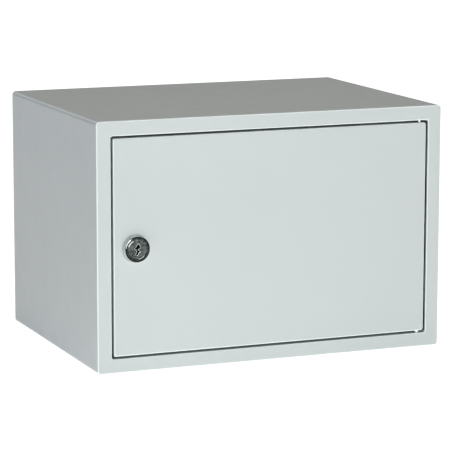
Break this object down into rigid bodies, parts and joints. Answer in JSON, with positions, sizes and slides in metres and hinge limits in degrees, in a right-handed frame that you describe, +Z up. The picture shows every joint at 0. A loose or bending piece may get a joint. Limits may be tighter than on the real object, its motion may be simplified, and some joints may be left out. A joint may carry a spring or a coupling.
{
  "type": "phone charging cabinet",
  "caption": "Small lockable steel cabinet that charges phones, with a hinged door, cam lock, slotted rack and multi-port charger inside.",
  "frame": {"origin": "middle of the cabinet's underside", "axes": "+Z up, the door faces -Y and is hinged on its +X side"},
  "size_m": [0.3, 0.2245, 0.202],
  "materials": {
    "powder_coat": "satin powder coat with a fine texture",
    "rack_coat": "satin powder coat",
    "lock_chrome": "bright nickel plate",
    "lock_face": "turned and nickel plated",
    "zinc_plate": "bright zinc plate",
    "bush_nylon": "natural nylon",
    "rubber": "moulded rubber",
    "divider_plastic": "moulded, fine spark texture",
    "housing_plastic": "moulded, fine spark texture",
    "board_laminate": "solder mask",
    "winding_tape": "tape over a winding, with a dark ferrite core",
    "capacitor_sleeve": "shrink sleeve",
    "port_steel": "nickel plated",
    "lens_plastic": "clear tinted",
    "switch_plastic": "moulded gloss",
    "inlet_plastic": "moulded",
    "pin_brass": "nickel plated brass"
  },
  "bodies": {
    "cabinet": {"cabinet_shell": "powder_coat", "back_panel": "powder_coat", "lock_strike": "powder_coat", "door_buffer_upper": "rubber", "door_buffer_lower": "rubber", "hinge_pin_upper": "zinc_plate", "hinge_pin_lower": "zinc_plate", "hinge_thrust_washer": "zinc_plate", "rack_tray": "rack_coat", "rack_mat": "rubber", "rack_studs": "zinc_plate", "rack_nuts": "zinc_plate", "charger_base": "housing_plastic", "charger_cover": "housing_plastic", "charger_board": "board_laminate", "board_transformer": "winding_tape", "board_capacitors": "capacitor_sleeve", "port_lights": "lens_plastic", "cover_screws": "zinc_plate", "switch_frame": "switch_plastic", "inlet_body": "inlet_plastic", "inlet_pins": "pin_brass", "charger_bracket": "powder_coat", "bracket_screws": "zinc_plate", "rack_divider_1": "divider_plastic", "rack_divider_2": "divider_plastic", "rack_divider_3": "divider_plastic", "rack_divider_4": "divider_plastic", "rack_divider_5": "divider_plastic", "rack_divider_6": "divider_plastic", "rack_divider_7": "divider_plastic", "rack_divider_8": "divider_plastic", "rack_divider_9": "divider_plastic", "usb_port_1": "port_steel", "usb_port_2": "port_steel", "usb_port_3": "port_steel", "usb_port_4": "port_steel", "usb_port_5": "port_steel", "usb_port_6": "port_steel", "usb_port_7": "port_steel", "usb_port_8": "port_steel", "usb_port_9": "port_steel", "usb_port_10": "port_steel"},
    "door": {"door_panel": "powder_coat", "hinge_bush_upper": "bush_nylon", "hinge_bush_lower": "bush_nylon", "lock_barrel": "lock_chrome", "lock_washer": "zinc_plate", "lock_nut": "zinc_plate"},
    "lock_plug": {"lock_plug": "lock_face", "lock_cam": "zinc_plate", "cam_washer": "zinc_plate", "cam_bolt": "zinc_plate"},
    "power_switch": {"switch_rocker": "switch_plastic"}
  },
  "joints": [
    {"name": "door_hinge", "type": "hinge", "parent": "cabinet", "child": "door", "pos_m": [0.1314, -0.106, 0.101], "axis": [0, 0, 1], "range_deg": [0, 110]},
    {"name": "lock_turn", "type": "hinge", "parent": "door", "child": "lock_plug", "pos_m": [-0.1177, -0.11, 0.1], "axis": [0, 1, 0], "range_deg": [0, 90]},
    {"name": "switch_tilt", "type": "hinge", "parent": "cabinet", "child": "power_switch", "pos_m": [0.124, 0.0725, 0.123], "axis": [1, 0, 0], "range_deg": [0, 16]}
  ]
}
